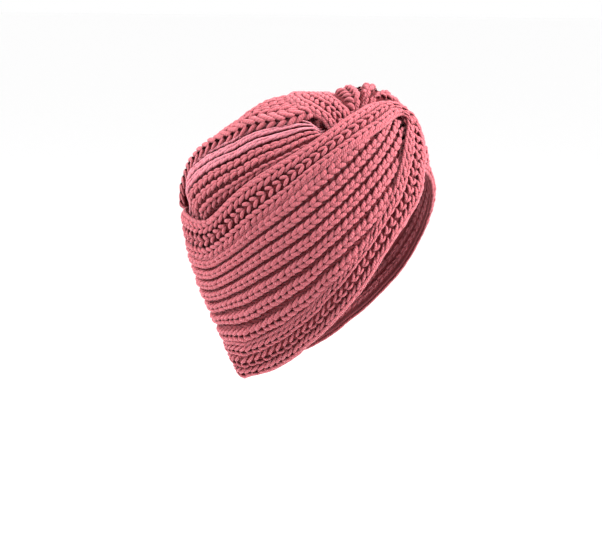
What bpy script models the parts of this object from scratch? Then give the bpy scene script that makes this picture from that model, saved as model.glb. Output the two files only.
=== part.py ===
"""Chunky ribbed knitted turban hat with a twist at the front.

Metres, +Z up as worn. The wearer looks toward -Y and the wearer's right hand is toward -X.
The origin is the inside of the crown at its top, where the head touches the hat.
Every panel follows one head form, given as a distance from the form's centre in each direction.
Bearings are in degrees: 0 is the back, 90 the wearer's right side, 180 the front, minus is the left.
Elevations are in degrees above the form's centre.
"""
import bpy
import math
import numpy as np

# Sizes in metres
half_width = 0.092         # form centre to the outside of the wrap at the side
half_depth = 0.118         # form centre to the outside of the wrap at the back
crown_height = 0.105       # form centre to the outside of the crown
nape_half_width = 0.072    # half width low at the back
wall = 0.007               # thickness of the knit, crest to inside
rib_depth = 0.0032         # depth of the valley between two ribs
crown_rib_depth = 0.0016   # the same on the crown
joint_gap = 0.0005         # free space between neighbouring pieces
tuck_gap = 0.0012          # free space between a tucked edge and the knit that covers it
tuck_wall = 0.0040         # thickness of a tucked edge
crown_rise = 0.0010        # how far the left crown stands above the right one
edge_roll = 0.0030         # how far the raised edge of the left crown stands up
lump_height = 0.0190       # how far the left bundle stands up before it dives under the twist
twist_rise = 0.0036        # how far the twist stands up where it covers the left side

band_ribs = 3
field_ribs = 7
right_crown_ribs = 8
left_crown_ribs = 13
steps_between = 2          # mesh rows from one table row to the next

# Depths that follow from the sizes above: a tucked edge below the outside of the form, the right
# crown's rear end under the left crown's own tucked edge, and the inside of the crown's top
tuck_drop = wall + tuck_gap
rear_drop = tuck_wall + tuck_gap
inner_crown = crown_height + crown_rise - wall

# The form: side view on the middle line: angle in degrees from the front over the top to the back,
# and the distance from the centre as a share of half_depth
FORM_SIDE = (
    # angle, reach
    (-80, 1.34),
    (-60, 1.24),
    (-27, 1.14),
    (0, 1.095),
    (10, 1.100),
    (18, 1.085),
    (29, 1.125),
    (39, 1.160),
    (48, 1.120),
    (56, 1.020),
    (64, 0.950),
    (84, 0.886),
    (107, 0.888),
    (126, 0.852),
    (143, 0.896),
    (158, 0.954),
    (172, 0.992),
    (185, 1.010),
    (199, 1.018),
    (215, 1.064),
    (229, 1.160),
    (240, 1.280),
    (248, 1.440),
    (255, 1.580),
    (280, 1.340),
)

# half width at the same angles, as a share of the way from nape_half_width to half_width
FORM_WIDTH = (
    # angle, share
    (-80, 0.60),
    (-60, 0.70),
    (-27, 0.90),
    (0, 1.00),
    (185, 1.00),
    (200, 0.85),
    (215, 0.60),
    (240, 0.10),
    (260, 0.35),
    (280, 0.60),
)

# The wrap's sections: bearing and elevation of the hem's outer edge, the hem band's inner edge, the
# seam of the third and fourth of the seven ribs between the bands, the ridge band's inner edge and
# the ridge's outer edge
BACK = ((0, -70), (0, -60), (0, -47), (0, -27), (0, -3.5))

RIGHT = (
    # hem out, hem in, middle, ridge in, ridge out
    ((14, -69.3), (14, -59.7), (13, -47), (14, -27), (13.5, -3.7)),
    ((28, -68.9), (28, -59.2), (26, -47), (28, -27), (27, -4.5)),
    ((49, -69.2), (48, -59), (46, -48.6), (46, -24.5), (44, -6)),
    ((64, -70.4), (62, -59.2), (60, -48.5), (58, -20), (54, -1)),
    ((77, -70.5), (74, -58.8), (72, -46.5), (69, -13.5), (64, 8.5)),
    ((90, -69), (85, -57.3), (84, -42.5), (81, -4), (75, 18.5)),
    ((103, -66), (96, -54.5), (95, -36.5), (93, 5.5), (88, 27)),
    ((115, -60), (106, -49.5), (105, -27.5), (104, 14.2), (100, 33.5)),
    ((124.5, -53), (115, -43.5), (114, -15), (114, 22), (111, 38.3)),
    ((132, -44), (122.5, -34.5), (122, -3.5), (124, 27.7), (121, 42.3)),
    ((138.5, -33.5), (129, -26), (129, 4.4), (133, 31.8), (129.5, 45.2)),
    ((144, -23.5), (134.5, -17.5), (135.5, 11.2), (141, 34.8), (137, 47.8)),
    ((149, -14.5), (140, -9.8), (141.5, 17.5), (148, 36.9), (144, 49.6)),
    ((154, -7), (145, -1.8), (147.5, 23), (154.5, 38.6), (151, 50.8)),
    ((159.5, -0.5), (150.2, 6.2), (153.5, 28), (160, 40.2), (157.5, 52)),
    ((165.5, 6.3), (155.5, 14), (159.5, 32), (165, 41.4), (163, 52.8)),
    ((171.5, 13.8), (160, 22), (165.5, 35.3), (169, 42), (168, 52.6)),
    ((177, 21), (164.5, 28.8), (169.5, 37.3), (172, 41.8), (173, 51.3)),
)

# rise of the three bands in the same rows, as shares of twist_rise: hem, middle, ridge
RIGHT_RISE = (
    (0, 0, 0),
    (0, 0, 0),
    (0, 0, 0),
    (0, 0, 0),
    (0, 0, 0),
    (0, 0, 0),
    (0, 0, 0),
    (0, 0, 0.1),
    (0, 0, 0.4),
    (0, 0, 0.7),
    (0, 0, 1),
    (0, 0, 1),
    (0, 0, 1),
    (0.2, 0, 1),
    (0.5, -0.2, 1),
    (0.8, -0.5, 1),
    (1, -0.85, 1.1),
    (1, -1.15, 1.2),
)

# the fan's last row lies under the turn of the band
FAN_TIP = ((173, 30.4), (176.6, 36.6), (176, 42))

# the turn of the band round the fan's tip
TURN = (
    # outer edge, inner edge
    ((180.5, 28), (168, 33)),
    ((182, 35), (171, 36)),
    ((181.5, 41.5), (172.8, 38.2)),
    ((179.5, 46.5), (173.6, 39.8)),
    ((176.8, 49.6), (173.2, 41.3)),
)

# rise of the turn in the same rows, as shares of twist_rise
TURN_RISE = (1.1, 1.3, 1.4, 1.4, 1.3)

# the left side of the wrap crosses the top and dives under the twist
LEFT = (
    # hem out, hem in, middle, ridge in, ridge out
    ((-14, -69.3), (-14, -59.7), (-13, -47), (-14, -27), (-13.5, -3.7)),
    ((-28, -68.9), (-28, -59.2), (-26, -47), (-28, -27), (-27, -4.5)),
    ((-49, -69.2), (-48, -59), (-46, -48.6), (-46, -24.5), (-44, -6)),
    ((-64, -70.4), (-62, -59.2), (-60, -48.5), (-58, -20), (-54, -1)),
    ((-77, -70.5), (-74, -58.8), (-72, -46.5), (-69, -13.5), (-64, 8.5)),
    ((-90, -69), (-85, -57.3), (-84, -42.5), (-81, -4), (-75, 18.5)),
    ((-103, -66), (-96, -54.5), (-95, -36.5), (-93, 5.5), (-88, 27)),
    ((-115, -60), (-106, -49.5), (-105, -26), (-104, 15.5), (-98, 36)),
    ((-124.5, -53), (-115, -43.5), (-114, -13), (-114, 26), (-104, 46)),
    ((-132, -44), (-122.5, -34.5), (-122, -1), (-123, 36.5), (-106, 57)),
    ((-138.5, -33.5), (-129, -26), (-129.5, 9.5), (-132, 47), (-100, 67)),
    ((-144, -23.5), (-134.5, -17.5), (-136.5, 19), (-142, 56), (-78, 76)),
    ((-149, -14.5), (-140, -9.8), (-144, 27.5), (-152, 63.5), (-30, 82.5)),
    ((-154, -7), (-145, -1.8), (-151.5, 35.5), (-165, 69.5), (25, 83)),
    ((-159.5, -0.5), (-150.2, 6.2), (-159, 42.5), (180, 72.5), (66, 79)),
    ((-165.5, 6.3), (-155.5, 14), (-164.5, 47.5), (166, 70.5), (92, 73)),
    ((-171, 13.3), (-160.5, 21.5), (-169, 51), (157, 66.5), (109, 65.5)),
    ((-176, 17), (-166, 27), (-173, 53), (152.5, 61), (121, 58)),
    ((180.5, 18.5), (-173, 32), (-177, 53.5), (150.5, 56.5), (127.5, 54)),
    ((177.5, 19.5), (-177.5, 33), (179.5, 51.2), (150.5, 52.5), (132, 48.5)),
    ((172.5, 20.5), (177, 33.5), (175.2, 47), (150.5, 46.5), (136, 43)),
)

# rise of the three bands in the same rows, as shares of lump_height: hem, middle, ridge
# the last two rows are left out, because they lie under the twist
LEFT_RISE = (
    (0, 0, 0),
    (0, 0, 0),
    (0, 0, 0),
    (0, 0, 0),
    (0, 0, 0),
    (0, 0, 0),
    (0, 0, 0),
    (0, 0, 0.05),
    (0, 0.05, 0.15),
    (0, 0.1, 0.16),
    (0, 0.2, 0.17),
    (0, 0.3, 0.18),
    (0, 0.45, 0.18),
    (0, 0.6, 0.18),
    (0, 0.78, 0.18),
    (0, 0.95, 0.18),
    (0, 1, 0.18),
    (0, 0.9, 0.16),
    (-0.08, 0.55, 0.06),
)

# The crown panels have one row per section, front to back
CROWN_RIGHT = (
    # lower edge under the ridge, middle, upper edge under the left crown
    ((133, 41.8), (129.5, 49), (123, 56)),
    ((122, 39.5), (118.5, 49.5), (113.5, 56.5)),
    ((113, 35.5), (110, 48.5), (103, 60.5)),
    ((98, 28.5), (97, 43), (84, 61.5)),
    ((84, 20.5), (80, 36), (60, 57)),
    ((71, 10.5), (62, 27), (38, 47)),
    ((61, 1.5), (47, 18), (18, 34)),
    ((54, -5), (36, 8.5), (6, 21)),
    ((49, -10), (30, -1), (0, 9)),
    ((45, -15), (26, -12), (-4, -12)),
)

CROWN_LEFT = (
    # edge that lies over the right crown, middle, edge under the left ridge
    ((127, 61.5), (180, 87), (-116, 58)),
    ((116, 59.5), (20, 82), (-110, 49)),
    ((103, 57.8), (8, 75), (-104, 40)),
    ((89.6, 55), (2, 68), (-98, 31)),
    ((61, 49.5), (-2, 58), (-88, 21)),
    ((42, 40.5), (-4, 47), (-77, 13)),
    ((25, 28), (-9, 36), (-67, 5)),
    ((14, 16), (-15, 24), (-58, -3)),
    ((10, 9), (-19, 13), (-56, -2)),
    ((8, 2.5), (-21, 3), (-52, -3.5)),
    ((7, -2.5), (-21, -2.5), (-49, -7.8)),
    ((6, -12), (-20, -12), (-42, -15)),
)


def direction(pair):
    """Unit vector for a bearing and an elevation in degrees."""
    bearing = math.radians(pair[0])
    elevation = math.radians(pair[1])
    flat = math.cos(elevation)
    return np.array((-flat * math.sin(bearing), flat * math.cos(bearing), math.sin(elevation)))


def unit(vectors):
    return vectors / np.linalg.norm(vectors, axis=-1, keepdims=True)


def reach(directions):
    """Distance from the form's centre to the outside of the knit along unit directions."""
    angle = np.degrees(np.arctan2(directions[..., 2], -directions[..., 1]))
    angle = np.where(angle < -80, angle + 360, angle)
    side = np.array(FORM_SIDE)
    width = np.array(FORM_WIDTH)
    height_share = crown_height / (np.interp(90, side[:, 0], side[:, 1]) * half_depth)
    lift = 1 + (height_share - 1) * np.clip(np.sin(np.radians(angle)), 0, 1) ** 2
    radius = np.interp(angle, side[:, 0], side[:, 1]) * half_depth * lift
    flat = np.hypot(directions[..., 1], directions[..., 2])
    share = 1 - (1 - np.interp(angle, width[:, 0], width[:, 1])) * flat ** 2
    across = nape_half_width + (half_width - nape_half_width) * share
    low = np.clip((angle - 190) / 50, 0, 1) + np.clip((10 - angle) / 50, 0, 1)
    power = 2.2 + 0.6 * low
    outline = (np.abs(directions[..., 0]) / across) ** power + (flat / radius) ** power
    return outline ** (-1 / power)


def smooth_rows(rows):
    """Rows of a table with steps_between mesh rows for each table row, on a smooth curve."""
    rows = np.asarray(rows, dtype=float)
    ends = np.concatenate((2 * rows[:1] - rows[1:2], rows, 2 * rows[-1:] - rows[-2:-1]))
    out = []
    for i in range(len(rows) - 1):
        a, b, c, d = ends[i:i + 4]
        for k in range(steps_between):
            t = k / steps_between
            curve = 2 * b + (c - a) * t + (2 * a - 5 * b + 4 * c - d) * t * t
            out.append(0.5 * (curve + (3 * b - a - 3 * c + d) * t ** 3))
    out.append(rows[-1])
    return np.array(out)


def through_three(first, middle, last, share, where):
    """Directions on a curve through three points, which meets the middle one at share."""
    near = np.linalg.norm(middle - first, axis=-1)[:, None]
    far = np.linalg.norm(last - middle, axis=-1)[:, None]
    knot = near / (near + far)
    pull = knot * (1 - share) / (share * (1 - knot))
    s = (pull * where / (1 - where + pull * where))[..., None]
    knot = knot[..., None]
    a = (s - knot) * (s - 1) / knot
    b = s * (s - 1) / (knot * (knot - 1))
    c = s * (s - knot) / (1 - knot)
    return unit(first[:, None] * a + middle[:, None] * b + last[:, None] * c)


def rib_columns(ribs, points):
    """Shares across a panel and the rib profile there: 0 in a valley, 1 on a crest."""
    shares = []
    profile = []
    for k in range(ribs):
        for j in range(points):
            shares.append((k + j / points) / ribs)
            profile.append(0.0 if j == 0 else 1.0)
    shares.append(1.0)
    profile.append(0.0)
    return np.array(shares), np.array(profile)


def rib_pitch(directions, ribs):
    """Rib width in every mesh row of a panel."""
    points = directions * reach(directions)[..., None]
    return np.linalg.norm(np.diff(points, axis=1), axis=2).sum(axis=1) / ribs


def panel(name, directions, outside, inside, colour):
    """Closed body between two heights over the form."""
    radius = reach(directions)
    centre = np.array((0.0, 0.0, -inner_crown))
    outer = centre + directions * (radius + outside)[..., None]
    inner = centre + directions * (radius + inside)[..., None]
    rows, columns = radius.shape
    points = np.concatenate((outer.reshape(-1, 3), inner.reshape(-1, 3)))
    size = rows * columns
    faces = []
    for i in range(rows - 1):
        for j in range(columns - 1):
            a = i * columns + j
            b = a + 1
            c = a + columns + 1
            d = a + columns
            faces.append((a, b, c))
            faces.append((a, c, d))
            faces.append((size + a, size + c, size + b))
            faces.append((size + a, size + d, size + c))
    rim = [j for j in range(columns)]
    rim += [i * columns + columns - 1 for i in range(1, rows)]
    rim += [(rows - 1) * columns + j for j in range(columns - 2, -1, -1)]
    rim += [i * columns for i in range(rows - 2, 0, -1)]
    for k, a in enumerate(rim):
        b = rim[(k + 1) % len(rim)]
        faces.append((a, size + b, b))
        faces.append((a, size + a, size + b))
    mesh = bpy.data.meshes.new(name)
    mesh.from_pydata(points.tolist(), [], faces)
    volume = 0.0
    for a, b, c in faces:
        volume += np.dot(points[a], np.cross(points[b], points[c]))
    if volume < 0:
        mesh.flip_normals()
    body = bpy.data.objects.new(name, mesh)
    bpy.context.scene.collection.objects.link(body)
    material = bpy.data.materials.new(name + "_knit")
    material.use_nodes = True
    shader = material.node_tree.nodes["Principled BSDF"]
    shader.inputs["Base Color"].default_value = colour
    shader.inputs["Roughness"].default_value = 0.9
    mesh.materials.append(material)
    return body


def wrap_rows():
    """Directions of the five guide lines and the rise of the three bands, left to right."""
    guides = [row for row in reversed(LEFT)] + [BACK] + [row for row in RIGHT]
    lines = np.array([[direction(pair) for pair in row] for row in guides])
    covered = np.full((2, 3), twist_rise - wall - tuck_gap)
    left_rise = np.concatenate((covered, np.array(LEFT_RISE[::-1]) * lump_height))
    right_rise = np.array(RIGHT_RISE) * twist_rise
    rise = np.concatenate((left_rise, np.zeros((1, 3)), right_rise))
    return lines, rise


def twist_band(lines, rise):
    """Hem from the left end round to the twist, the turn, and the ridge back to the left end."""
    turn = np.array([[direction(pair) for pair in row] for row in TURN])
    hem = lines[:, :2]
    ridge = lines[::-1, 4:2:-1]
    edges = np.concatenate((hem, turn, ridge))
    lift = np.concatenate((rise[:, 0], np.array(TURN_RISE) * twist_rise, rise[::-1, 2]))
    edges = smooth_rows(edges)
    lift = smooth_rows(lift)
    shares, profile = rib_columns(band_ribs, 2)
    directions = unit(edges[:, :1] * (1 - shares[None, :, None]) + edges[:, 1:] * shares[None, :, None])
    valley = np.minimum(rib_depth, 0.3 * rib_pitch(directions, band_ribs))
    outside = lift[:, None] - valley[:, None] * (1 - profile)
    inside = np.repeat(lift[:, None] - wall, len(shares), axis=1)
    return panel("twist_band", directions, outside, inside, (0.48, 0.14, 0.16, 1.0))


def wrap_panel(lines, rise):
    """Seven ribs between the hem and the ridge, from the left bundle to the right fan's tip."""
    tip = np.array([[direction(pair) for pair in FAN_TIP]])
    edges = np.concatenate((lines[:, 1:4], tip))
    lift = np.concatenate((rise, np.full((1, 3), twist_rise - wall - tuck_gap)))
    lift[-len(RIGHT) - 1:, 0] = lift[-len(RIGHT) - 1:, 1]
    lift[-len(RIGHT) - 1:, 2] = lift[-len(RIGHT) - 1:, 1]
    edges = smooth_rows(edges)
    lift = smooth_rows(lift)
    shares, profile = rib_columns(field_ribs, 2)
    where = shares[None, :]
    width = rib_pitch(through_three(*edges.swapaxes(0, 1), 3 / 7, where), field_ribs) * field_ribs
    gap = (joint_gap / width)[:, None]
    directions = through_three(*edges.swapaxes(0, 1), 3 / 7, where * (1 - 2 * gap) + gap)
    valley = np.minimum(rib_depth, 0.3 * rib_pitch(directions, field_ribs))
    climb = np.clip((shares - 0.45) / 0.35, 0, 1)
    bump = climb * climb * (3 - 2 * climb) - np.clip((shares - 0.8) / 0.2, 0, 1) ** 2
    side = lift[:, :1] * (1 - shares) + lift[:, 2:] * shares
    height = side * (1 - bump) + lift[:, 1:2] * bump
    outside = height - valley[:, None] * (1 - profile)
    return panel("wrap_panel", directions, outside, height - wall, (0.45, 0.13, 0.15, 1.0))


def crown_panel(name, table, ribs, raised, colour):
    """Ribs that run front to back over the crown, with edges tucked under the neighbours.

    The raised panel has one free edge that lies over the other panel.
    """
    edges = np.array([[direction(pair) for pair in row] for row in table])
    edges = smooth_rows(edges)
    shares, profile = rib_columns(ribs, 2)
    first, middle, last = edges.swapaxes(0, 1)
    near_part = np.linalg.norm(middle - first, axis=1)[:, None]
    far_part = np.linalg.norm(last - middle, axis=1)[:, None]
    directions = through_three(first, middle, last, near_part / (near_part + far_part), shares[None, :])
    row = np.arange(len(edges))[:, None]
    along = row / (len(edges) - 1)
    across = shares[None, :]
    from_end = np.minimum(row, len(edges) - 1 - row) / steps_between
    far = np.clip((1 - across) * ribs / 1.5 - (0.35 if raised else 0.15), 0, 1)
    free_edge = np.clip(1 - across * ribs / 1.5, 0, 1) if raised else 0.0
    near = np.clip(across * ribs / 1.5 - 0.4, 0, 1)
    if raised:
        near = np.ones_like(near)
        end = np.clip((from_end - 1) / 0.8, 0, 1)
    else:
        end = np.where(along < 0.5, from_end / 0.9 - 0.3, from_end / 1.1 - 0.65)
        end = np.clip(end, 0, 1)
    full = end * far * near
    full = full * full * (3 - 2 * full)
    if raised:
        top = crown_rise + edge_roll * free_edge
        drop = 0.0
    else:
        top = 0.0
        drop = rear_drop * np.clip((along - 0.79) / 0.12, 0, 1) * np.clip((across - 0.6) / 0.15, 0, 1)
    height = top * full - tuck_drop * (1 - full) - drop
    thick = tuck_wall + (wall - tuck_wall) * full * (1 - free_edge)
    outside = height - crown_rib_depth * (1 - profile) * (0.3 + 0.7 * full)
    return panel(name, directions, outside, height - thick, colour)


for old in list(bpy.data.objects):
    bpy.data.objects.remove(old, do_unlink=True)

guide_lines, guide_rise = wrap_rows()
twist_band(guide_lines, guide_rise)
wrap_panel(guide_lines, guide_rise)
crown_panel("crown_panel_right", CROWN_RIGHT, right_crown_ribs, False, (0.56, 0.18, 0.20, 1.0))
crown_panel("crown_panel_left", CROWN_LEFT, left_crown_ribs, True, (0.52, 0.16, 0.18, 1.0))
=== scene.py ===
"""Looks of the ribbed knitted turban hat: yarn stitches on knit sheets, light, floor and camera.

Metres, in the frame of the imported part. The sheets follow the part's own head form and guide lines,
so sizes and tables repeat those of the part's source. Every stitch is a pair of bent yarn legs.
"""
import math

import bpy
import numpy as np
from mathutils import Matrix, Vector


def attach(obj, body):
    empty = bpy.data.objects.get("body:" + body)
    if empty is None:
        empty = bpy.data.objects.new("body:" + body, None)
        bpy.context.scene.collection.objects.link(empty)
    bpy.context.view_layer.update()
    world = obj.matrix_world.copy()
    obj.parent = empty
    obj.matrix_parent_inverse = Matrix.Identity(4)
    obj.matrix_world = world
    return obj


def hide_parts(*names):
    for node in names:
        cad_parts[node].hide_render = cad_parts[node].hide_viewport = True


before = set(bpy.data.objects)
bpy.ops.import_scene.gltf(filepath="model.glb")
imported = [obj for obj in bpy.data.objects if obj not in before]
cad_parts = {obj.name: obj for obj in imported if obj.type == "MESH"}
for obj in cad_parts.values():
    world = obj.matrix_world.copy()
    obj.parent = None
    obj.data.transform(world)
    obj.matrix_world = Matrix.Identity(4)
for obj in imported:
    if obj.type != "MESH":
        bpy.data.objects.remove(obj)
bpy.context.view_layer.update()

# Sizes in metres
half_width = 0.092         # form centre to the outside of the wrap at the side
half_depth = 0.118         # form centre to the outside of the wrap at the back
crown_height = 0.105       # form centre to the outside of the crown
nape_half_width = 0.072    # half width low at the back
wall = 0.007               # thickness of the knit, crest to inside
tuck_gap = 0.0012          # free space between a tucked edge and the knit that covers it
tuck_wall = 0.0040         # thickness of a tucked edge
crown_rise = 0.0010        # how far the left crown stands above the right one
edge_roll = 0.0030         # how far the raised edge of the left crown stands up
lump_height = 0.0190       # how far the left bundle stands up before it dives under the twist
twist_rise = 0.0036        # how far the twist stands up where it covers the left side

band_ribs = 3
field_ribs = 7
right_crown_ribs = 8
left_crown_ribs = 13

# Depths that follow from the sizes above: a tucked edge below the outside of the form, the right
# crown's rear end under the left crown's own tucked edge, and the inside of the crown's top
tuck_drop = wall + tuck_gap
rear_drop = tuck_wall + tuck_gap
inner_crown = crown_height + crown_rise - wall

# The form's centre, straight below the origin at the inside of the crown's top
centre = np.array((0.0, 0.0, -inner_crown))

# Sizes of the yarn and of the sheets under it, in metres
stitch_pitch = 0.0078      # from one stitch to the next along a rib
full_pitch = 0.0128        # width of a rib that is not squeezed
widest_rib = 0.0175        # width up to which the legs spread with their rib
leg_radius = 0.0020        # half the thickness of a yarn leg
rib_round = 0.0032         # how far a rib falls off from its crest to its sides
fan_pitch = 0.0178         # widest rib of the fan at the twist, measured along the table's rows
tip_pitch = 0.0040         # width of its ribs where the fan has come to a point
seam_dive = 0.0016         # how deep the fan's ribs dive at the edges of the bands over them
seam_reach = 0.0050        # how far from such an edge they start to dive
sheet_sink = 0.0038        # crest of the sheet below the crest of the stitches
sheet_valley = 0.0022      # further depth of the sheet between two ribs
inner_valley = 0.0018      # the same on the inside
inner_lift = 0.0012        # how far the legs on the inside stand off from the sheet there

# The form's cross-sections are nearly round above and squarer low down
form_power = 2.2           # power of the outline above
low_power = 0.6            # what it gains low down
low_front = 10             # angle in degrees from which it gains, down the front
low_back = 190             # the same down the back
low_range = 50             # degrees over which it does

# The wrap rises by its middle line's rise above the middle, in shares of its width
bump_start = 0.45          # where that starts
bump_growth = 0.35         # over which it grows to the full rise
bump_end = 0.2             # over which it goes again, up to the far edge

# The fan of the wrap's right side at the twist
fan_start = 8              # rows of the right side's table before the fan
fan_rows = 5               # rows over which it opens
tip_widening = 0.3         # what a rib gains on tip_pitch, as a share of the fan's width there
under_lap = 0.18           # share of the wrap's width by which it runs on under the band's turn
runs_in = (1, 0.5)         # width of all ribs over the wrap's: from where they dive, over what growth

# Where the crown's halves come up from their tucked edges: start and length of each rise, in ribs
# from share 0 and share 1, and in table rows from the front and the rear end
RIGHT_EDGES = {"near": (0.6, 1.5), "far": (0.225, 1.5), "front": (0.27, 0.9), "rear": (0.715, 1.1)}
LEFT_EDGES = {"far": (0.525, 1.5), "front": (0.4, 0.8), "rear": (0.4, 0.8)}
roll_ribs = 1.5            # width of the left half's rolled edge, in ribs
rear_along = (0.79, 0.12)  # start and length of the right half's drop at the rear, over its length
rear_across = (0.6, 0.15)  # the same across it, over its width

# Limits of a rib's fullness, which is its width over full_pitch
sheet_fullness = (0.15, 1)      # for the sheet's relief
leg_fullness = (0.12, 1.15)     # for the places and heights of the legs
radius_fullness = (0.25, 1.05)  # for the thickness of the legs

# Shapes of a rib and of a leg, as shares
relief_power = 0.15        # how little a squeezed rib loses of its relief
thin_power = 0.8           # how much thinner the legs get on a squeezed rib
closed_until = 0.3         # fullness up to which the legs of a squeezed rib stay close together
closed_range = 0.5         # further fullness over which they open
closed_share = 0.55        # how far out they reach when close together
closed_round = 3           # how many times as far such a rib falls off to its sides
leg_sink = 0.8             # depth of a leg's middle line at the crest, in leg radii
leg_flat = 0.9             # height of a leg over its width
end_room = 0.5             # pitches left free when the stitches of a rib are counted
first_place = 0.3          # place of the first stitch, in pitches
last_room = 0.1            # pitches of room beyond the last stitch's own
leg_lead = 0.12            # share of its run by which a leg starts ahead of its stitch
leg_tip = 0.55             # radius to which a leg tapers over that of its middle
tip_margin = 0.02          # share of the leg at which the taper stops, from each end
dive_in = 0.35             # share of the leg over which its first end comes up
dive_out = 0.3             # share of the leg over which its second end goes down
past_edge = 0.25           # rib widths past the panel's edge up to which legs are drawn

# Small differences from leg to leg, as standard deviations
start_spread = 0.02        # of a stitch's place, in its pitch
run_spread = 0.04          # of a leg's place in stitch pitches, and of its run as a share
side_spread = 0.03         # of how far out a leg lies, as a share
height_spread = 0.00025    # of its height
rim_spread = 0.0002        # of its height on a free edge

# Painted shade: how exposed to light the yarn is, from 0 deep in the knit to 1; the less exposed, the
# more its colour is darkened to the painted shade colour
sheet_crest_light = 0.1    # on the crests of a sheet's outside, where its valleys have 0
inner_light = (0.2, 0.4)   # in the valleys and on the crests of its inside
leg_end_light = 0.35       # at the ends of a leg, as a share of that in its middle

# Meshes
leg_points = 8             # rings of points along a leg
leg_sides = 8              # points of a ring
inner_points = 6           # the same for the legs on the inside
inner_sides = 6
sheet_rows = 5             # mesh rows of a sheet from one table row to the next
sheet_columns = 8          # mesh columns of a sheet on one rib
samples = 400              # places along a panel at which its length and width are measured
width_samples = 9          # places across it at which its width is measured
row_step = 0.05            # table rows to each side over which a rib's direction is measured
share_step = 0.01          # share of a panel over which a rib's width is measured
rib_margin = 0.1           # share of a panel by which the middle of a rib may lie outside it
tiny = 1e-12               # keeps a leg that is cut short from having no direction

# How the legs of a rib lie: pitch and run in stitch pitches, inner and outer ends as shares of half
# the rib's width, bow of the path between them, dive of both ends in metres, thickness in leg radii,
# and fall to the rib's sides in rib_round
FIELD = {"pitch": 1.0, "run": 1.3, "inner": 0.08, "outer": 0.54, "bow": 0.7,
         "dive": 0.0024, "thick": 1.18, "round": 1.9}
OPEN = {"pitch": 1.15, "run": 0.98, "inner": 0.05, "outer": 0.82, "bow": 0.8,
        "dive": 0.0024, "thick": 1.05, "round": 1.0}
CABLE = {"pitch": 1.0, "run": 1.35, "inner": 0.08, "outer": 0.74, "bow": 0.8,
         "dive": 0.0012, "thick": 1.10, "round": 1.0}
LARGE = {"pitch": 1.25, "run": 1.5, "inner": 0.08, "outer": 0.76, "bow": 0.8,
         "dive": 0.0018, "thick": 1.25, "round": 0.9}
SMOOTH = {"pitch": 1.2, "run": 2.2, "inner": 0.14, "outer": 0.58, "bow": 1.0,
          "dive": 0.0003, "thick": 1.15, "round": 0.8}
INSIDE = {"pitch": 1.0, "run": 1.3, "inner": 0.08, "outer": 0.56, "bow": 0.7,
          "dive": 0.0010, "thick": 1.1, "round": 0.9}

# How a row of legs on a free edge lies: pitch and run as above, start of a leg inside the edge and
# its end outside the edge in rib widths, depth of its start below the panel's outside as a share of
# the panel's thickness, how much deeper its end lies, and thickness in leg radii
ROLL_UP = {"pitch": 1.2, "run": 1.5, "inner": -0.10, "outer": -0.42,
           "start": 0.35, "fall": -0.45, "thick": 1.3}
ROLL_DOWN = {"pitch": 1.2, "run": 1.5, "inner": -0.12, "outer": 0.34,
             "start": 0.45, "fall": 1.1, "thick": 1.3}
EDGE = {"pitch": 0.9, "run": 1.5, "inner": 0.06, "outer": 0.06,
        "start": 0.50, "fall": 0.20, "thick": 1.1}

# Colours of the yarn, and the settings of its surface
light_pink = (0.31, 0.076, 0.091, 1)
# painted shade colour: the dark pink that yarn deep in the knit, between and under the stitches, is
# darkened to
painted_shade_pink = (0.11, 0.010, 0.014, 1)
# painted highlight: a paler copy of the same yarn, for the right crown's smooth ribs
highlight_pink = (0.38, 0.12, 0.148, 1)
YARN_SURFACE = {
    "Roughness": 0.85,
    "Specular IOR Level": 0.15,
    "Sheen Weight": 0.12,
    "Sheen Roughness": 0.5,
    "Sheen Tint": (1.0, 0.72, 0.76, 1.0),
    "Subsurface Weight": 0.3,
    "Subsurface Radius": (1.0, 0.4, 0.4),
    "Subsurface Scale": 0.003,
}

# The studio: the hat hangs high over a floor so wide that its edge isn't seen
floor_height = -0.80
floor_half_width = 30
LIGHTS = (
    # name, place, size, power in watts
    ("back", (-0.5, 1.3, 0.7), 0.7, 48),
    ("front", (0.0, -1.4, 0.8), 0.7, 80),
    ("top", (0.0, 0.1, 1.6), 0.9, 14),
)

# The photograph's view: size of the picture and the form's centre in it, in pixels, the camera's
# bearing and elevation in degrees, its distance, and its lens and sensor in millimetres
photo_width = 602
photo_height = 554
centre_across = 303
centre_down = 205
view_bearing = -70
view_elevation = 8
view_distance = 1.5926     # in metres, which shows the hat as large as the photograph does
focal_length = 100
sensor_width = 36

random = np.random.RandomState(11)

# The form: side view on the middle line: angle in degrees from the front over the top to the back,
# and the distance from the centre as a share of half_depth
FORM_SIDE = (
    # angle, reach
    (-80, 1.34),
    (-60, 1.24),
    (-27, 1.14),
    (0, 1.095),
    (10, 1.100),
    (18, 1.085),
    (29, 1.125),
    (39, 1.160),
    (48, 1.120),
    (56, 1.020),
    (64, 0.950),
    (84, 0.886),
    (107, 0.888),
    (126, 0.852),
    (143, 0.896),
    (158, 0.954),
    (172, 0.992),
    (185, 1.010),
    (199, 1.018),
    (215, 1.064),
    (229, 1.160),
    (240, 1.280),
    (248, 1.440),
    (255, 1.580),
    (280, 1.340),
)

# half width at the same angles, as a share of the way from nape_half_width to half_width
FORM_WIDTH = (
    # angle, share
    (-80, 0.60),
    (-60, 0.70),
    (-27, 0.90),
    (0, 1.00),
    (185, 1.00),
    (200, 0.85),
    (215, 0.60),
    (240, 0.10),
    (260, 0.35),
    (280, 0.60),
)

# The wrap's sections: bearing and elevation of the hem's outer edge, the hem band's inner edge, the
# seam of the third and fourth of the seven ribs between the bands, the ridge band's inner edge and
# the ridge's outer edge
BACK = ((0, -70), (0, -60), (0, -47), (0, -27), (0, -3.5))

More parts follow.
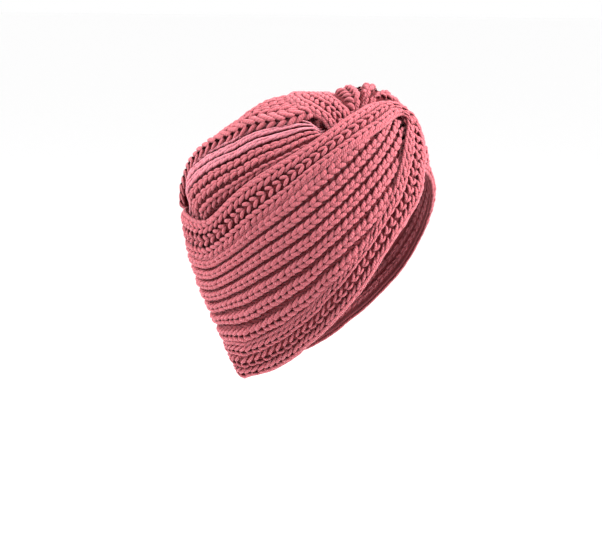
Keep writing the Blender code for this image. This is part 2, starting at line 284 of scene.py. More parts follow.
RIGHT = (
    # hem out, hem in, middle, ridge in, ridge out
    ((14, -69.3), (14, -59.7), (13, -47), (14, -27), (13.5, -3.7)),
    ((28, -68.9), (28, -59.2), (26, -47), (28, -27), (27, -4.5)),
    ((49, -69.2), (48, -59), (46, -48.6), (46, -24.5), (44, -6)),
    ((64, -70.4), (62, -59.2), (60, -48.5), (58, -20), (54, -1)),
    ((77, -70.5), (74, -58.8), (72, -46.5), (69, -13.5), (64, 8.5)),
    ((90, -69), (85, -57.3), (84, -42.5), (81, -4), (75, 18.5)),
    ((103, -66), (96, -54.5), (95, -36.5), (93, 5.5), (88, 27)),
    ((115, -60), (106, -49.5), (105, -27.5), (104, 14.2), (100, 33.5)),
    ((124.5, -53), (115, -43.5), (114, -15), (114, 22), (111, 38.3)),
    ((132, -44), (122.5, -34.5), (122, -3.5), (124, 27.7), (121, 42.3)),
    ((138.5, -33.5), (129, -26), (129, 4.4), (133, 31.8), (129.5, 45.2)),
    ((144, -23.5), (134.5, -17.5), (135.5, 11.2), (141, 34.8), (137, 47.8)),
    ((149, -14.5), (140, -9.8), (141.5, 17.5), (148, 36.9), (144, 49.6)),
    ((154, -7), (145, -1.8), (147.5, 23), (154.5, 38.6), (151, 50.8)),
    ((159.5, -0.5), (150.2, 6.2), (153.5, 28), (160, 40.2), (157.5, 52)),
    ((165.5, 6.3), (155.5, 14), (159.5, 32), (165, 41.4), (163, 52.8)),
    ((171.5, 13.8), (160, 22), (165.5, 35.3), (169, 42), (168, 52.6)),
    ((177, 21), (164.5, 28.8), (169.5, 37.3), (172, 41.8), (173, 51.3)),
)

# rise of the three bands in the same rows, as shares of twist_rise: hem, middle, ridge
RIGHT_RISE = (
    (0, 0, 0),
    (0, 0, 0),
    (0, 0, 0),
    (0, 0, 0),
    (0, 0, 0),
    (0, 0, 0),
    (0, 0, 0),
    (0, 0, 0.1),
    (0, 0, 0.4),
    (0, 0, 0.7),
    (0, 0, 1),
    (0, 0, 1),
    (0, 0, 1),
    (0.2, 0, 1),
    (0.5, -0.2, 1),
    (0.8, -0.5, 1),
    (1, -0.85, 1.1),
    (1, -1.15, 1.2),
)

# the fan's last row lies under the turn of the band
FAN_TIP = ((173, 30.4), (176.6, 36.6), (176, 42))

# the turn of the band round the fan's tip
TURN = (
    # outer edge, inner edge
    ((180.5, 28), (168, 33)),
    ((182, 35), (171, 36)),
    ((181.5, 41.5), (172.8, 38.2)),
    ((179.5, 46.5), (173.6, 39.8)),
    ((176.8, 49.6), (173.2, 41.3)),
)

# rise of the turn in the same rows, as shares of twist_rise
TURN_RISE = (1.1, 1.3, 1.4, 1.4, 1.3)

# the left side of the wrap crosses the top and dives under the twist
LEFT = (
    # hem out, hem in, middle, ridge in, ridge out
    ((-14, -69.3), (-14, -59.7), (-13, -47), (-14, -27), (-13.5, -3.7)),
    ((-28, -68.9), (-28, -59.2), (-26, -47), (-28, -27), (-27, -4.5)),
    ((-49, -69.2), (-48, -59), (-46, -48.6), (-46, -24.5), (-44, -6)),
    ((-64, -70.4), (-62, -59.2), (-60, -48.5), (-58, -20), (-54, -1)),
    ((-77, -70.5), (-74, -58.8), (-72, -46.5), (-69, -13.5), (-64, 8.5)),
    ((-90, -69), (-85, -57.3), (-84, -42.5), (-81, -4), (-75, 18.5)),
    ((-103, -66), (-96, -54.5), (-95, -36.5), (-93, 5.5), (-88, 27)),
    ((-115, -60), (-106, -49.5), (-105, -26), (-104, 15.5), (-98, 36)),
    ((-124.5, -53), (-115, -43.5), (-114, -13), (-114, 26), (-104, 46)),
    ((-132, -44), (-122.5, -34.5), (-122, -1), (-123, 36.5), (-106, 57)),
    ((-138.5, -33.5), (-129, -26), (-129.5, 9.5), (-132, 47), (-100, 67)),
    ((-144, -23.5), (-134.5, -17.5), (-136.5, 19), (-142, 56), (-78, 76)),
    ((-149, -14.5), (-140, -9.8), (-144, 27.5), (-152, 63.5), (-30, 82.5)),
    ((-154, -7), (-145, -1.8), (-151.5, 35.5), (-165, 69.5), (25, 83)),
    ((-159.5, -0.5), (-150.2, 6.2), (-159, 42.5), (180, 72.5), (66, 79)),
    ((-165.5, 6.3), (-155.5, 14), (-164.5, 47.5), (166, 70.5), (92, 73)),
    ((-171, 13.3), (-160.5, 21.5), (-169, 51), (157, 66.5), (109, 65.5)),
    ((-176, 17), (-166, 27), (-173, 53), (152.5, 61), (121, 58)),
    ((180.5, 18.5), (-173, 32), (-177, 53.5), (150.5, 56.5), (127.5, 54)),
    ((177.5, 19.5), (-177.5, 33), (179.5, 51.2), (150.5, 52.5), (132, 48.5)),
    ((172.5, 20.5), (177, 33.5), (175.2, 47), (150.5, 46.5), (136, 43)),
)

# rise of the three bands in the same rows, as shares of lump_height: hem, middle, ridge
# the last two rows are left out, because they lie under the twist
LEFT_RISE = (
    (0, 0, 0),
    (0, 0, 0),
    (0, 0, 0),
    (0, 0, 0),
    (0, 0, 0),
    (0, 0, 0),
    (0, 0, 0),
    (0, 0, 0.05),
    (0, 0.05, 0.15),
    (0, 0.1, 0.16),
    (0, 0.2, 0.17),
    (0, 0.3, 0.18),
    (0, 0.45, 0.18),
    (0, 0.6, 0.18),
    (0, 0.78, 0.18),
    (0, 0.95, 0.18),
    (0, 1, 0.18),
    (0, 0.9, 0.16),
    (-0.08, 0.55, 0.06),
)

# The crown panels have one row per section, front to back
CROWN_RIGHT = (
    # lower edge under the ridge, middle, upper edge under the left crown
    ((133, 41.8), (129.5, 49), (123, 56)),
    ((122, 39.5), (118.5, 49.5), (113.5, 56.5)),
    ((113, 35.5), (110, 48.5), (103, 60.5)),
    ((98, 28.5), (97, 43), (84, 61.5)),
    ((84, 20.5), (80, 36), (60, 57)),
    ((71, 10.5), (62, 27), (38, 47)),
    ((61, 1.5), (47, 18), (18, 34)),
    ((54, -5), (36, 8.5), (6, 21)),
    ((49, -10), (30, -1), (0, 9)),
    ((45, -15), (26, -12), (-4, -12)),
)

CROWN_LEFT = (
    # edge that lies over the right crown, middle, edge under the left ridge
    ((127, 61.5), (180, 87), (-116, 58)),
    ((116, 59.5), (20, 82), (-110, 49)),
    ((103, 57.8), (8, 75), (-104, 40)),
    ((89.6, 55), (2, 68), (-98, 31)),
    ((61, 49.5), (-2, 58), (-88, 21)),
    ((42, 40.5), (-4, 47), (-77, 13)),
    ((25, 28), (-9, 36), (-67, 5)),
    ((14, 16), (-15, 24), (-58, -3)),
    ((10, 9), (-19, 13), (-56, -2)),
    ((8, 2.5), (-21, 3), (-52, -3.5)),
    ((7, -2.5), (-21, -2.5), (-49, -7.8)),
    ((6, -12), (-20, -12), (-42, -15)),
)


def direction(pair):
    """Unit vector for a bearing and an elevation in degrees."""
    bearing = math.radians(pair[0])
    elevation = math.radians(pair[1])
    flat = math.cos(elevation)
    return np.array((-flat * math.sin(bearing), flat * math.cos(bearing), math.sin(elevation)))


def direction_rows(table):
    return np.array([[direction(pair) for pair in row] for row in table])


def unit(vectors):
    return vectors / np.linalg.norm(vectors, axis=-1, keepdims=True)


def ramp(x, start, length):
    """0 up to start, and 1 from a length beyond it."""
    return np.clip((x - start) / length, 0, 1)


def smooth(x):
    """The same rise from 0 to 1, with soft ends."""
    return x * x * (3 - 2 * x)


def reach(directions):
    """Distance from the form's centre to the outside of the knit along unit directions."""
    angle = np.degrees(np.arctan2(directions[..., 2], -directions[..., 1]))
    side = np.array(FORM_SIDE)
    width = np.array(FORM_WIDTH)
    angle = np.where(angle < side[0, 0], angle + 360, angle)
    height_share = crown_height / (np.interp(90, side[:, 0], side[:, 1]) * half_depth)
    lift = 1 + (height_share - 1) * np.clip(np.sin(np.radians(angle)), 0, 1) ** 2
    radius = np.interp(angle, side[:, 0], side[:, 1]) * half_depth * lift
    flat = np.hypot(directions[..., 1], directions[..., 2])
    share = 1 - (1 - np.interp(angle, width[:, 0], width[:, 1])) * flat ** 2
    across = nape_half_width + (half_width - nape_half_width) * share
    low = ramp(angle, low_back, low_range) + ramp(-angle, -low_front, low_range)
    power = form_power + low_power * low
    outline = (np.abs(directions[..., 0]) / across) ** power + (flat / radius) ** power
    return outline ** (-1 / power)


def through_three(first, middle, last, share):
    """Directions at shares of the way along a curve through three points."""
    near = np.linalg.norm(middle - first, axis=-1)[:, None]
    far = np.linalg.norm(last - middle, axis=-1)[:, None]
    knot = near / (near + far)
    a = (share - knot) * (share - 1) / knot
    b = share * (share - 1) / (knot * (knot - 1))
    c = share * (share - knot) / (1 - knot)
    return unit(first * a + middle * b + last * c)


def at(rows, u):
    """A table's rows at places between them, on the smooth curve that the part follows too."""
    rows = np.asarray(rows, dtype=float)
    ends = np.concatenate((2 * rows[:1] - rows[1:2], rows, 2 * rows[-1:] - rows[-2:-1]))
    i = np.clip(np.floor(u).astype(int), 0, len(rows) - 2)
    t = (u - i).reshape(u.shape + (1,) * (rows.ndim - 1))
    a, b, c, d = ends[i], ends[i + 1], ends[i + 2], ends[i + 3]
    curve = 2 * b + (c - a) * t + (2 * a - 5 * b + 4 * c - d) * t * t
    return 0.5 * (curve + (3 * b - a - 3 * c + d) * t ** 3)


class Knit:
    """A knitted panel: u runs along its ribs in table rows, share runs across them.

    guides has two or three lines a row, lift and thickness are functions of u and share, rib_share
    gives a rib's width over the panel's at u, and under how far the panel runs on past share 0.
    """

    def __init__(self, name, guides, ribs, lift, thickness, rib_share=None, under=None):
        self.name = name
        self.guides = guides
        self.ribs = ribs
        self.lift = lift
        self.thickness = thickness
        self.rib_share = rib_share or (lambda u: np.full(len(u), 1 / ribs))
        self.under = under or (lambda u: np.zeros(len(u)))
        self.last = len(guides) - 1.0

    def directions(self, u, share):
        lines = at(self.guides, u)
        share = share[:, None]
        if lines.shape[1] == 2:
            return unit(lines[:, 0] * (1 - share) + lines[:, 1] * share)
        return through_three(*lines.swapaxes(0, 1), share)

    def place(self, u, share, height=0.0):
        """Points at a height over the panel's outside, and the outward direction there."""
        return self.raised(self.directions(u, share), u, share, height)

    def raised(self, outward, u, share, height):
        """The same in given directions, with the lift of u and share."""
        radius = reach(outward) + self.lift(u, share) + height
        return centre + outward * radius[:, None], outward

    def width(self, u):
        """Width of the whole panel at u, along the form."""
        points = []
        for share in np.linspace(0, 1, width_samples):
            outward = self.directions(u, np.full(len(u), share))
            points.append(outward * reach(outward)[:, None])
        return np.linalg.norm(np.diff(points, axis=0), axis=2).sum(axis=0)

    def rib_width(self, u):
        return self.width(u) * self.rib_share(u)

    def line(self, u, rib):
        """Share at which the middle of a rib lies at u. Ribs are counted from share 0."""
        return 0.5 + (rib + 0.5 - self.ribs / 2) * self.rib_share(u)

    def middle(self, u, rib, aside=0.0):
        """Points on the middle of a rib or beside it, and the outward direction there."""
        share = np.clip(self.line(u, rib), -rib_margin, 1 + rib_margin)
        return self.place(u, share + aside)

    def frame(self, u, rib):
        """Middle of a rib, the direction across it, and its true width there."""
        middle, outward = self.middle(u, rib)
        ahead, _ = self.middle(np.minimum(u + row_step, self.last), rib)
        behind, _ = self.middle(np.maximum(u - row_step, 0), rib)
        beside, _ = self.middle(u, rib, share_step)
        across = unit(np.cross(outward, ahead - behind))
        spread = ((beside - middle) * across).sum(axis=1) * self.rib_share(u) / share_step
        return middle, across * np.sign(spread)[:, None], np.minimum(np.abs(spread), widest_rib)

    def distances(self, rib):
        """Places u along a rib, and how far along its middle they are."""
        u = np.linspace(0, self.last, samples)
        steps = np.linalg.norm(np.diff(self.middle(u, rib)[0], axis=0), axis=1)
        return u, np.concatenate(((0.0,), np.cumsum(steps)))


def new_piece(name, points, faces, exposed, uvs, material):
    """Mesh object from points and quads, with how exposed to light each point is, for its painted shade,
    and where on the yarn it is.
    """
    mesh = bpy.data.meshes.new(name)
    mesh.vertices.add(len(points))
    mesh.vertices.foreach_set("co", np.asarray(points, dtype=np.float32).ravel())
    faces = np.asarray(faces, dtype=np.int32)
    mesh.loops.add(faces.size)
    mesh.loops.foreach_set("vertex_index", faces.ravel())
    mesh.polygons.add(len(faces))
    mesh.polygons.foreach_set("loop_start", np.arange(0, faces.size, 4, dtype=np.int32))
    mesh.polygons.foreach_set("use_smooth", np.ones(len(faces), dtype=bool))
    layer = mesh.attributes.new("exposed", "FLOAT", "POINT")
    layer.data.foreach_set("value", np.asarray(exposed, dtype=np.float32).ravel())
    layer = mesh.uv_layers.new(name="yarn")
    layer.data.foreach_set("uv", np.asarray(uvs, dtype=np.float32)[faces.ravel()].ravel())
    mesh.update(calc_edges=True)
    mesh.validate()
    mesh.materials.append(material)
    piece = bpy.data.objects.new(name, mesh)
    bpy.context.scene.collection.objects.link(piece)
    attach(piece, "root")
    return piece


def base_sheet(knit, material):
    """Closed knit sheet under the stitches, with rib relief outside and inside, coloured mostly in
    painted shade that shows dark between the stitches.
    """
    along = np.linspace(0, knit.last, int(knit.last * sheet_rows) + 1)
    shares = np.linspace(0, 1, knit.ribs * sheet_columns + 1)
    rows, columns = len(along), len(shares)
    u = np.repeat(along, columns)
    share = np.tile(shares, rows)
    share = share - (1 - share) * knit.under(u)
    across = knit.ribs / 2 + (share - 0.5) / knit.rib_share(u)
    crest = np.sin(np.pi * across) ** 2
    width = np.repeat(knit.rib_width(along), columns)
    fullness = np.clip(width / full_pitch, *sheet_fullness)
    thick = knit.thickness(u, share)
    outside = -(sheet_sink + (1 - crest) * sheet_valley) * fullness ** relief_power
    inside = -thick + crest * inner_valley * fullness * thick / wall
    outer, _ = knit.place(u, share, outside)
    inner, _ = knit.place(u, share, inside)
    points = np.concatenate((outer, inner))

    index = np.arange(rows * columns).reshape(rows, columns)
    a, b, c, d = index[:-1, :-1], index[:-1, 1:], index[1:, 1:], index[1:, :-1]
    top = np.stack((a, b, c, d), axis=-1).reshape(-1, 4)
    size = rows * columns
    bottom = top[:, ::-1] + size
    rim = np.concatenate((index[0], index[1:, -1], index[-1, -2::-1], index[-2:0:-1, 0]))
    after = np.roll(rim, -1)
    side = np.stack((rim, rim + size, after + size, after), axis=-1)
    faces = np.concatenate((top, bottom, side))
    normal = np.cross(outer[b[0, 0]] - outer[a[0, 0]], outer[d[0, 0]] - outer[a[0, 0]])
    if np.dot(normal, outer[0] - centre) < 0:
        faces = faces[:, ::-1]

    distance = np.interp(along, *knit.distances(knit.ribs // 2))
    uv = np.stack((np.repeat(distance, columns) / stitch_pitch, across), axis=1)
    # painted shade: the outside nearly all in the shade colour, the inside half shaded and darker still
    # in its valleys
    valley_light, crest_light = inner_light
    inner_exposed = valley_light + (crest_light - valley_light) * (1 - crest)
    exposed = np.concatenate((sheet_crest_light * crest, inner_exposed))
    return new_piece(knit.name + "_sheet", points, faces, exposed, np.concatenate((uv, uv)),
                     material)


def stitch_places(distance, pitch):
    """Places of the stitches along a line, evenly spread and slightly uneven."""
    count = int((distance[-1] - end_room * pitch) / pitch)
    places = (np.arange(count) + first_place) * distance[-1] / (count + last_room)
    return places + random.normal(0, start_spread * pitch, count)


def leg_fade(along):
    """1 in the middle of a leg, falling steeply to its ends."""
    return np.sin(np.pi * along) ** 0.5


def leg_radii(along, count, fullness, thick):
    """Radii of legs, which taper to both ends and are thinner on a squeezed rib."""
    taper = leg_tip + (1 - leg_tip) * leg_fade(np.clip(along, tip_margin, 1 - tip_margin))
    return leg_radius * thick * np.tile(taper, count) * np.clip(fullness, *radius_fullness) ** thin_power


def rib_legs(knit, rib, style, points, inside=False):
    """Middle points, outward directions and radii of the legs of one rib, outside or inside."""
    along = np.linspace(0, 1, points)
    u, distance = knit.distances(rib)
    places = stitch_places(distance, stitch_pitch * style["pitch"])
    ends = (1 - ramp(along, 0, dive_in)) ** 2 + ramp(along, 1 - dive_out, dive_out) ** 2
    parts = []
    for side in (-1, 1):
        # the fifth row is unused, and is drawn so that later legs stay where they are
        jitter = random.normal(0, 1, (5, len(places)))
        starts = places + run_spread * stitch_pitch * jitter[0]
        run = style["run"] * stitch_pitch * (1 + run_spread * jitter[1])
        spots = starts[:, None] + run[:, None] * (along[None, :] - leg_lead)
        leg_u = np.interp(np.clip(spots, 0, distance[-1]).ravel(), distance, u)
        middle, across, width = knit.frame(leg_u, rib)
        fullness = np.clip(width / full_pitch, *leg_fullness)
        opened = ramp(fullness, closed_until, closed_range)

        out = style["inner"] + (style["outer"] - style["inner"]) * along ** style["bow"]
        out = np.tile(out, len(places)) * (closed_share + (1 - closed_share) * opened)
        offset = side * 0.5 * out * (1 + side_spread * np.repeat(jitter[2], points))
        outward = unit(middle + across * (offset * width)[:, None] - centre)
        share = knit.line(leg_u, rib) + offset * knit.rib_share(leg_u)

        fall = rib_round * style["round"] * (closed_round - (closed_round - 1) * opened)
        height = -leg_radius * leg_sink - fall * out ** 2 - style["dive"] * np.tile(ends, len(places))
        height = height * fullness ** relief_power + height_spread * np.repeat(jitter[3], points)
        if inside:
            height = -knit.thickness(leg_u, share) - height - inner_lift
        legs, outward = knit.raised(outward, leg_u, share, height)
        radii = leg_radii(along, len(places), fullness, style["thick"])
        if inside:
            outward = -outward

        middle_u = leg_u.reshape(-1, points).mean(axis=1)
        middle_share = share.reshape(-1, points).mean(axis=1)
        past = past_edge * knit.rib_share(middle_u)
        past_first = np.maximum(past, knit.under(middle_u))
        shown = np.repeat((middle_share > -past_first) & (middle_share < 1 + past), points)
        parts.append((legs[shown], outward[shown], radii[shown]))
    return [np.concatenate(column) for column in zip(*parts)]


def edge_legs(knit, edge, style):
    """The same for one row of legs along a free edge, at share 0 or 1."""
    along = np.linspace(0, 1, leg_points)
    u, distance = knit.distances(edge * knit.ribs - 0.5)
    places = stitch_places(distance, stitch_pitch * style["pitch"])
    # the third row is unused, and is drawn so that later legs stay where they are
    jitter = random.normal(0, 1, (3, len(places)))
    run = style["run"] * stitch_pitch * (1 + run_spread * jitter[0])
    spots = places[:, None] + run[:, None] * (along[None, :] - leg_lead)
    leg_u = np.interp(np.clip(spots, 0, distance[-1]).ravel(), distance, u)
    inward = 1 if edge < 0.5 else -1
    step_in = inward * (style["inner"] * (1 - along) - style["outer"] * along)
    share = edge + np.tile(step_in, len(places)) / knit.ribs
    thickness = knit.thickness(leg_u, np.clip(share, 0, 1))
    height = -thickness * np.tile(style["start"] + style["fall"] * along, len(places))
    height = height + rim_spread * np.repeat(jitter[1], leg_points)
    legs, outward = knit.place(leg_u, share, height)
    fullness = np.clip(knit.rib_width(leg_u) / full_pitch, *leg_fullness)
    return [legs, outward, leg_radii(along, len(places), fullness, style["thick"])]


def yarn_piece(name, lines, points, sides, material):
    """One piece of tapered tubes round the middle points of many legs."""
    centres, outwards, radii = [np.concatenate(column) for column in zip(*lines)]
    centres = centres.reshape(-1, points, 3)
    outwards = outwards.reshape(-1, points, 3)
    radii = radii.reshape(-1, points, 1, 1)
    tangent = unit(np.gradient(centres, axis=1) + tiny)
    sideways = unit(np.cross(outwards, tangent))
    upward = np.cross(tangent, sideways)
    ring = np.linspace(0, 2 * math.pi, sides, endpoint=False)
    cosine = np.cos(ring)[:, None]
    sine = np.sin(ring)[:, None]
    skin = cosine * sideways[:, :, None] + leg_flat * sine * upward[:, :, None]
    skin = centres[:, :, None] + radii * skin

    along = np.linspace(0, 1, points)[:, None]
    shape = (len(centres), points, sides)
    # painted shade: each leg darker on its underside and towards its ends
    exposed = (0.5 + 0.5 * np.sin(ring)) * (leg_end_light + (1 - leg_end_light) * leg_fade(along))
    uv = np.stack((np.broadcast_to(2 * along, shape), np.broadcast_to(ring / (2 * math.pi), shape)),
                  axis=-1)
    index = np.arange(np.prod(shape)).reshape(shape)
    turned = np.roll(index, -1, axis=2)
    faces = np.stack((index[:, :-1], turned[:, :-1], turned[:, 1:], index[:, 1:]), axis=-1)
    return new_piece(name, skin.reshape(-1, 3), faces.reshape(-1, 4), np.broadcast_to(exposed, shape),
                     uv.reshape(-1, 2), material)


def stitches(knit, ribs, style, name, material):
    lines = [rib_legs(knit, rib, style, leg_points) for rib in ribs]
    return yarn_piece(name, lines, leg_points, leg_sides, material)


def inner_stitches(knit, name, material):
    """Ribs on the inside, which lie behind the valleys of the outside."""
    lines = [rib_legs(knit, rib + 0.5, INSIDE, inner_points, inside=True)
             for rib in range(knit.ribs - 1)]
    return yarn_piece(name, lines, inner_points, inner_sides, material)


def edge_stitches(knit, edge, styles, name, material):
    lines = [edge_legs(knit, edge, style) for style in styles]
    return yarn_piece(name, lines, leg_points, leg_sides, material)


def narrowed(outer, inner):
    """The inner edge of a band, moved so that its ribs are no wider than full_pitch."""
    across = inner * reach(inner)[:, None] - outer * reach(outer)[:, None]
    share = np.minimum(1, band_ribs * full_pitch / np.linalg.norm(across, axis=1))[:, None]
    return unit(outer * (1 - share) + inner * share)


def full_wall(u, share):
    return np.full(len(u), wall)


def make_panels():
    """The four knitted panels, from the same tables and sizes as the part."""
    lines = direction_rows(LEFT[::-1] + (BACK,) + RIGHT)
    lines[:, 1] = narrowed(lines[:, 0], lines[:, 1])
    lines[:, 3] = narrowed(lines[:, 4], lines[:, 3])
    under_twist = twist_rise - wall - tuck_gap
    covered_rows = len(LEFT) - len(LEFT_RISE)
    rise = np.concatenate((np.full((covered_rows, 3), under_twist),
                           np.array(LEFT_RISE[::-1]) * lump_height,
                           np.zeros((1, 3)),
                           np.array(RIGHT_RISE) * twist_rise))
    band = make_band(lines, rise)
    wrap = make_wrap(lines, np.concatenate((rise, np.full((1, 3), under_twist))))
    crown_right = make_crown("crown_right", CROWN_RIGHT, right_crown_ribs, False)
    crown_left = make_crown("crown_left", CROWN_LEFT, left_crown_ribs, True)
    return band, wrap, crown_right, crown_left


def make_band(lines, rise):
    """The band: along the hem, round the twist and back along the ridge."""
    edges = np.concatenate((lines[:, :2], direction_rows(TURN), lines[::-1, 4:2:-1]))
    band_rise = np.concatenate((rise[:, 0], np.array(TURN_RISE) * twist_rise, rise[::-1, 2]))
    return Knit("band", edges, band_ribs, lambda u, share: at(band_rise, u), full_wall)


def make_wrap(lines, rise):
    """The ribbed field between hem and ridge, whose right side fans in to the twist."""
    edges = np.concatenate((lines[:, 1:4], direction_rows((FAN_TIP,))))
    # from the right side's rows on, both edges keep to the rise of the middle line
    for column in (0, 2):
        rise[-len(RIGHT) - 1:, column] = rise[-len(RIGHT) - 1:, 1]
    bare = Knit("bare", edges, field_ribs, None, None)
    rows = np.linspace(0, bare.last, samples)
    row_width = bare.width(rows)

    def fan(u):
        return smooth(ramp(u, len(LEFT) + fan_start, fan_rows))

    def under(u):
        return under_lap * fan(u)

    def rib_share(u):
        """Even ribs, and in the fan wider ones, of which the band over them hides some."""
        width = np.interp(u, rows, row_width)
        even = width / field_ribs
        wide = np.minimum(fan_pitch, tip_pitch + tip_widening * width)
        return (even + fan(u) * np.maximum(0, wide - even)) / width

    def lift(u, share):
        """From edge to edge, over the middle line, and down where fan ribs meet the bands."""
        near, middle, far = at(rise, u).T
        bump = smooth(ramp(share, bump_start, bump_growth)) - ramp(share, 1 - bump_end, bump_end) ** 2
        side = near * (1 - share) + far * share
        from_seam = np.minimum(share, 1 - share) * np.interp(u, rows, row_width)
        dive = seam_dive * np.clip(1 - from_seam / seam_reach, 0, 2) ** 2
        dive = dive * ramp(rib_share(u) * field_ribs, *runs_in)
        return side * (1 - bump) + middle * bump - dive

    return Knit("wrap", edges, field_ribs, lift, full_wall, rib_share, under)


def make_crown(name, table, ribs, raised):
    """One half of the crown. Its edges are tucked in, apart from the raised half's own free edge."""
    last = len(table) - 1.0
    edges = LEFT_EDGES if raised else RIGHT_EDGES

    def full(u, share):
        """From 0 at a tucked edge to 1 where the knit has its full height and thickness."""
        front, rear = ramp(u, *edges["front"]), ramp(last - u, *edges["rear"])
        whole = np.where(u < last / 2, front, rear) * ramp((1 - share) * ribs, *edges["far"])
        if not raised:
            whole = whole * ramp(share * ribs, *edges["near"])
        return smooth(whole)

    def free_edge(share):
        """From 1 at the raised half's free edge to 0 where its roll ends."""
        return 1 - ramp(share * ribs, 0, roll_ribs) if raised else np.zeros(len(share))

    def lift(u, share):
        tucked = -tuck_drop * (1 - full(u, share))
        if raised:
            return (crown_rise + edge_roll * free_edge(share)) * full(u, share) + tucked
        return tucked - rear_drop * ramp(u / last, *rear_along) * ramp(share, *rear_across)

    def thickness(u, share):
        return tuck_wall + (wall - tuck_wall) * full(u, share) * (1 - free_edge(share))

    return Knit(name, direction_rows(table), ribs, lift, thickness)


def set_inputs(node, values):
    for key, value in values.items():
        node.inputs[key].default_value = value


def new_node(nodes, kind, values):
    node = nodes.new(kind)
    set_inputs(node, values)
    return node


def yarn_material(name, light, shade_colour, ply=True):
    """Matt woolly yarn: painted shade where it is deep in the knit, mottled, with plied strands in
    relief.
    """
    material = bpy.data.materials.new(name)
    material.use_nodes = True
    nodes = material.node_tree.nodes
    links = material.node_tree.links
    shader = nodes["Principled BSDF"]
    set_inputs(shader, YARN_SURFACE)

    # painted shade: the colour runs from the shade colour to the lit one as the point's exposure to
    # light rises
    exposed = nodes.new("ShaderNodeAttribute")
    exposed.attribute_name = "exposed"
    shade = new_node(nodes, "ShaderNodeMapRange", {"From Min": 0.1, "From Max": 0.75})
    links.new(exposed.outputs["Fac"], shade.inputs["Value"])
    mix = nodes.new("ShaderNodeMix")
    mix.data_type = "RGBA"
    mix.inputs["A"].default_value = shade_colour
    mix.inputs["B"].default_value = light
    links.new(shade.outputs["Result"], mix.inputs["Factor"])

    where = nodes.new("ShaderNodeTexCoord")
    blotch = new_node(nodes, "ShaderNodeTexNoise", {"Scale": 60.0, "Detail": 4.0})
    links.new(where.outputs["Object"], blotch.inputs["Vector"])
    vary = new_node(nodes, "ShaderNodeMapRange", {"To Min": 0.85, "To Max": 1.15})
    links.new(blotch.outputs["Fac"], vary.inputs["Value"])
    tint = nodes.new("ShaderNodeHueSaturation")
    links.new(mix.outputs["Result"], tint.inputs["Color"])
    links.new(vary.outputs["Result"], tint.inputs["Value"])
    links.new(tint.outputs["Color"], shader.inputs["Base Color"])

    fuzz = new_node(nodes, "ShaderNodeTexNoise", {"Scale": 900.0, "Detail": 3.0})
    links.new(where.outputs["Object"], fuzz.inputs["Vector"])
    relief = new_node(nodes, "ShaderNodeBump", {"Distance": 0.0004, "Strength": 0.6})
    links.new(fuzz.outputs["Fac"], relief.inputs["Height"])
    if ply:
        yarn = nodes.new("ShaderNodeUVMap")
        yarn.uv_map = "yarn"
        strands = new_node(nodes, "ShaderNodeTexWave", {"Scale": 1.6, "Distortion": 1.2})
        strands.bands_direction = "DIAGONAL"
        links.new(yarn.outputs["UV"], strands.inputs["Vector"])
        plied = new_node(nodes, "ShaderNodeBump", {"Distance": 0.0005, "Strength": 0.7})
        links.new(strands.outputs["Fac"], plied.inputs["Height"])
        links.new(relief.outputs["Normal"], plied.inputs["Normal"])
        relief = plied
    links.new(relief.outputs["Normal"], shader.inputs["Normal"])
    return material


def look_camera():
    """Camera at the photograph's angle, which shows the form's centre at the same place."""
    bearing = math.radians(view_bearing)
    elevation = math.radians(view_elevation)
    back = Vector((math.sin(bearing) * math.cos(elevation), -math.cos(bearing) * math.cos(elevation),
                   math.sin(elevation)))
    right = (-back).cross(Vector((0, 0, 1))).normalized()
    up = right.cross(-back)
    focal_pixels = focal_length / sensor_width * photo_width
    aside = (centre_across - photo_width / 2) / focal_pixels
    above = (photo_height / 2 - centre_down) / focal_pixels
    axis = (-back - right * aside - up * above).normalized()
    data = bpy.data.cameras.new("camera")
    data.lens = focal_length
    data.sensor_width = sensor_width
    camera = bpy.data.objects.new("camera", data)
    camera.location = Vector(centre) + back * view_distance
    camera.rotation_euler = axis.to_track_quat("-Z", "Y").to_euler()
    bpy.context.scene.collection.objects.link(camera)
    bpy.context.scene.camera = camera


def area_light(name, place, size, power):
    """White round light, turned to the hat."""
    data = bpy.data.lights.new(name, "AREA")
    data.shape = "DISK"
    data.size = size
    data.energy = power
    light = bpy.data.objects.new(name, data)
    light.location = place
    toward = Vector(centre) - light.location
    light.rotation_euler = toward.to_track_quat("-Z", "Y").to_euler()
    bpy.context.scene.collection.objects.link(light)


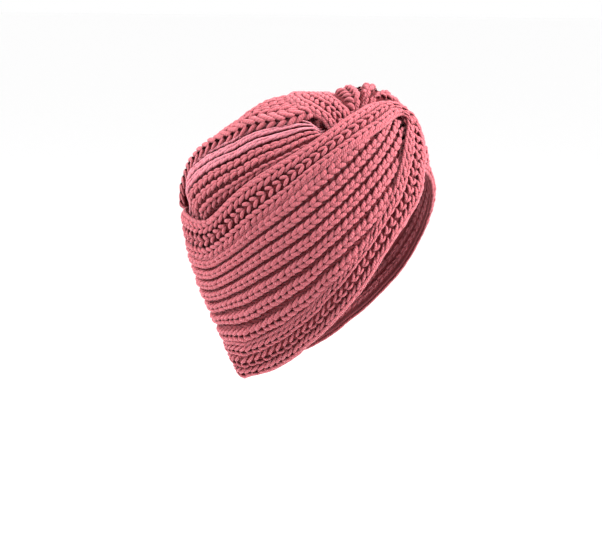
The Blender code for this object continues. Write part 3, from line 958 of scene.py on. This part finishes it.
def studio():
    """Pale floor far below the held hat, white surroundings and three soft lights."""
    half = floor_half_width
    mesh = bpy.data.meshes.new("floor")
    mesh.from_pydata([(-half, -half, 0), (half, -half, 0), (half, half, 0), (-half, half, 0)], [],
                     [(0, 1, 2, 3)])
    floor = bpy.data.objects.new("floor", mesh)
    floor.location = (0, 0, floor_height)
    bpy.context.scene.collection.objects.link(floor)
    material = bpy.data.materials.new("pale_floor")
    material.use_nodes = True
    set_inputs(material.node_tree.nodes["Principled BSDF"],
               {"Base Color": (0.98, 0.98, 0.98, 1), "Roughness": 0.9})
    mesh.materials.append(material)
    world = bpy.data.worlds.new("studio")
    world.use_nodes = True
    set_inputs(world.node_tree.nodes["Background"], {"Color": (1, 1, 1, 1), "Strength": 1.0})
    bpy.context.scene.world = world
    bpy.context.scene.view_settings.view_transform = "Standard"
    for light in LIGHTS:
        area_light(*light)


band, wrap, crown_right, crown_left = make_panels()
sheet_look = yarn_material("knit_sheet", light_pink, painted_shade_pink, ply=False)
stitch_look = yarn_material("yarn", light_pink, painted_shade_pink)
highlight_look = yarn_material("highlight_yarn", highlight_pink, painted_shade_pink)

band_sheet = base_sheet(band, sheet_look)
wrap_sheet = base_sheet(wrap, sheet_look)
crown_right_sheet = base_sheet(crown_right, sheet_look)
crown_left_sheet = base_sheet(crown_left, sheet_look)

# The pieces stay in this order, because each takes the next of the random numbers
band_open = stitches(band, (1,), OPEN, "band_open_stitches", stitch_look)
band_cable = stitches(band, (0, 2), CABLE, "band_edge_stitches", stitch_look)
band_rim = edge_stitches(band, 0.0, (EDGE,), "band_rim", stitch_look)
band_inner_rim = edge_stitches(band, 1.0, (EDGE,), "band_inner_rim", stitch_look)
band_inside = inner_stitches(band, "band_inside", stitch_look)
wrap_low = stitches(wrap, (0, 1, 2, 3), FIELD, "wrap_stitches_low", stitch_look)
wrap_high = stitches(wrap, (4, 5, 6), FIELD, "wrap_stitches_high", stitch_look)
wrap_inside = inner_stitches(wrap, "wrap_inside", stitch_look)
right_low = stitches(crown_right, (0, 1, 2, 3), FIELD, "crown_right_stitches_low", stitch_look)
# the smooth ribs take the paler copy of the yarn, a painted highlight
right_stitches = stitches(crown_right, (4, 5, 6, 7), SMOOTH, "crown_right_stitches", highlight_look)
right_inside = inner_stitches(crown_right, "crown_right_inside", stitch_look)
left_edge = stitches(crown_left, (0, 1), LARGE, "crown_left_edge_stitches", stitch_look)
left_rim = edge_stitches(crown_left, 0.0, (ROLL_UP, ROLL_DOWN), "crown_left_rim", stitch_look)
left_stitches = stitches(crown_left, range(2, left_crown_ribs), FIELD, "crown_left_stitches",
                         stitch_look)
left_inside = inner_stitches(crown_left, "crown_left_inside", stitch_look)

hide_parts("twist_band")
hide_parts("wrap_panel")
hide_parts("crown_panel_right")
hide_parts("crown_panel_left")

studio()
look_camera()
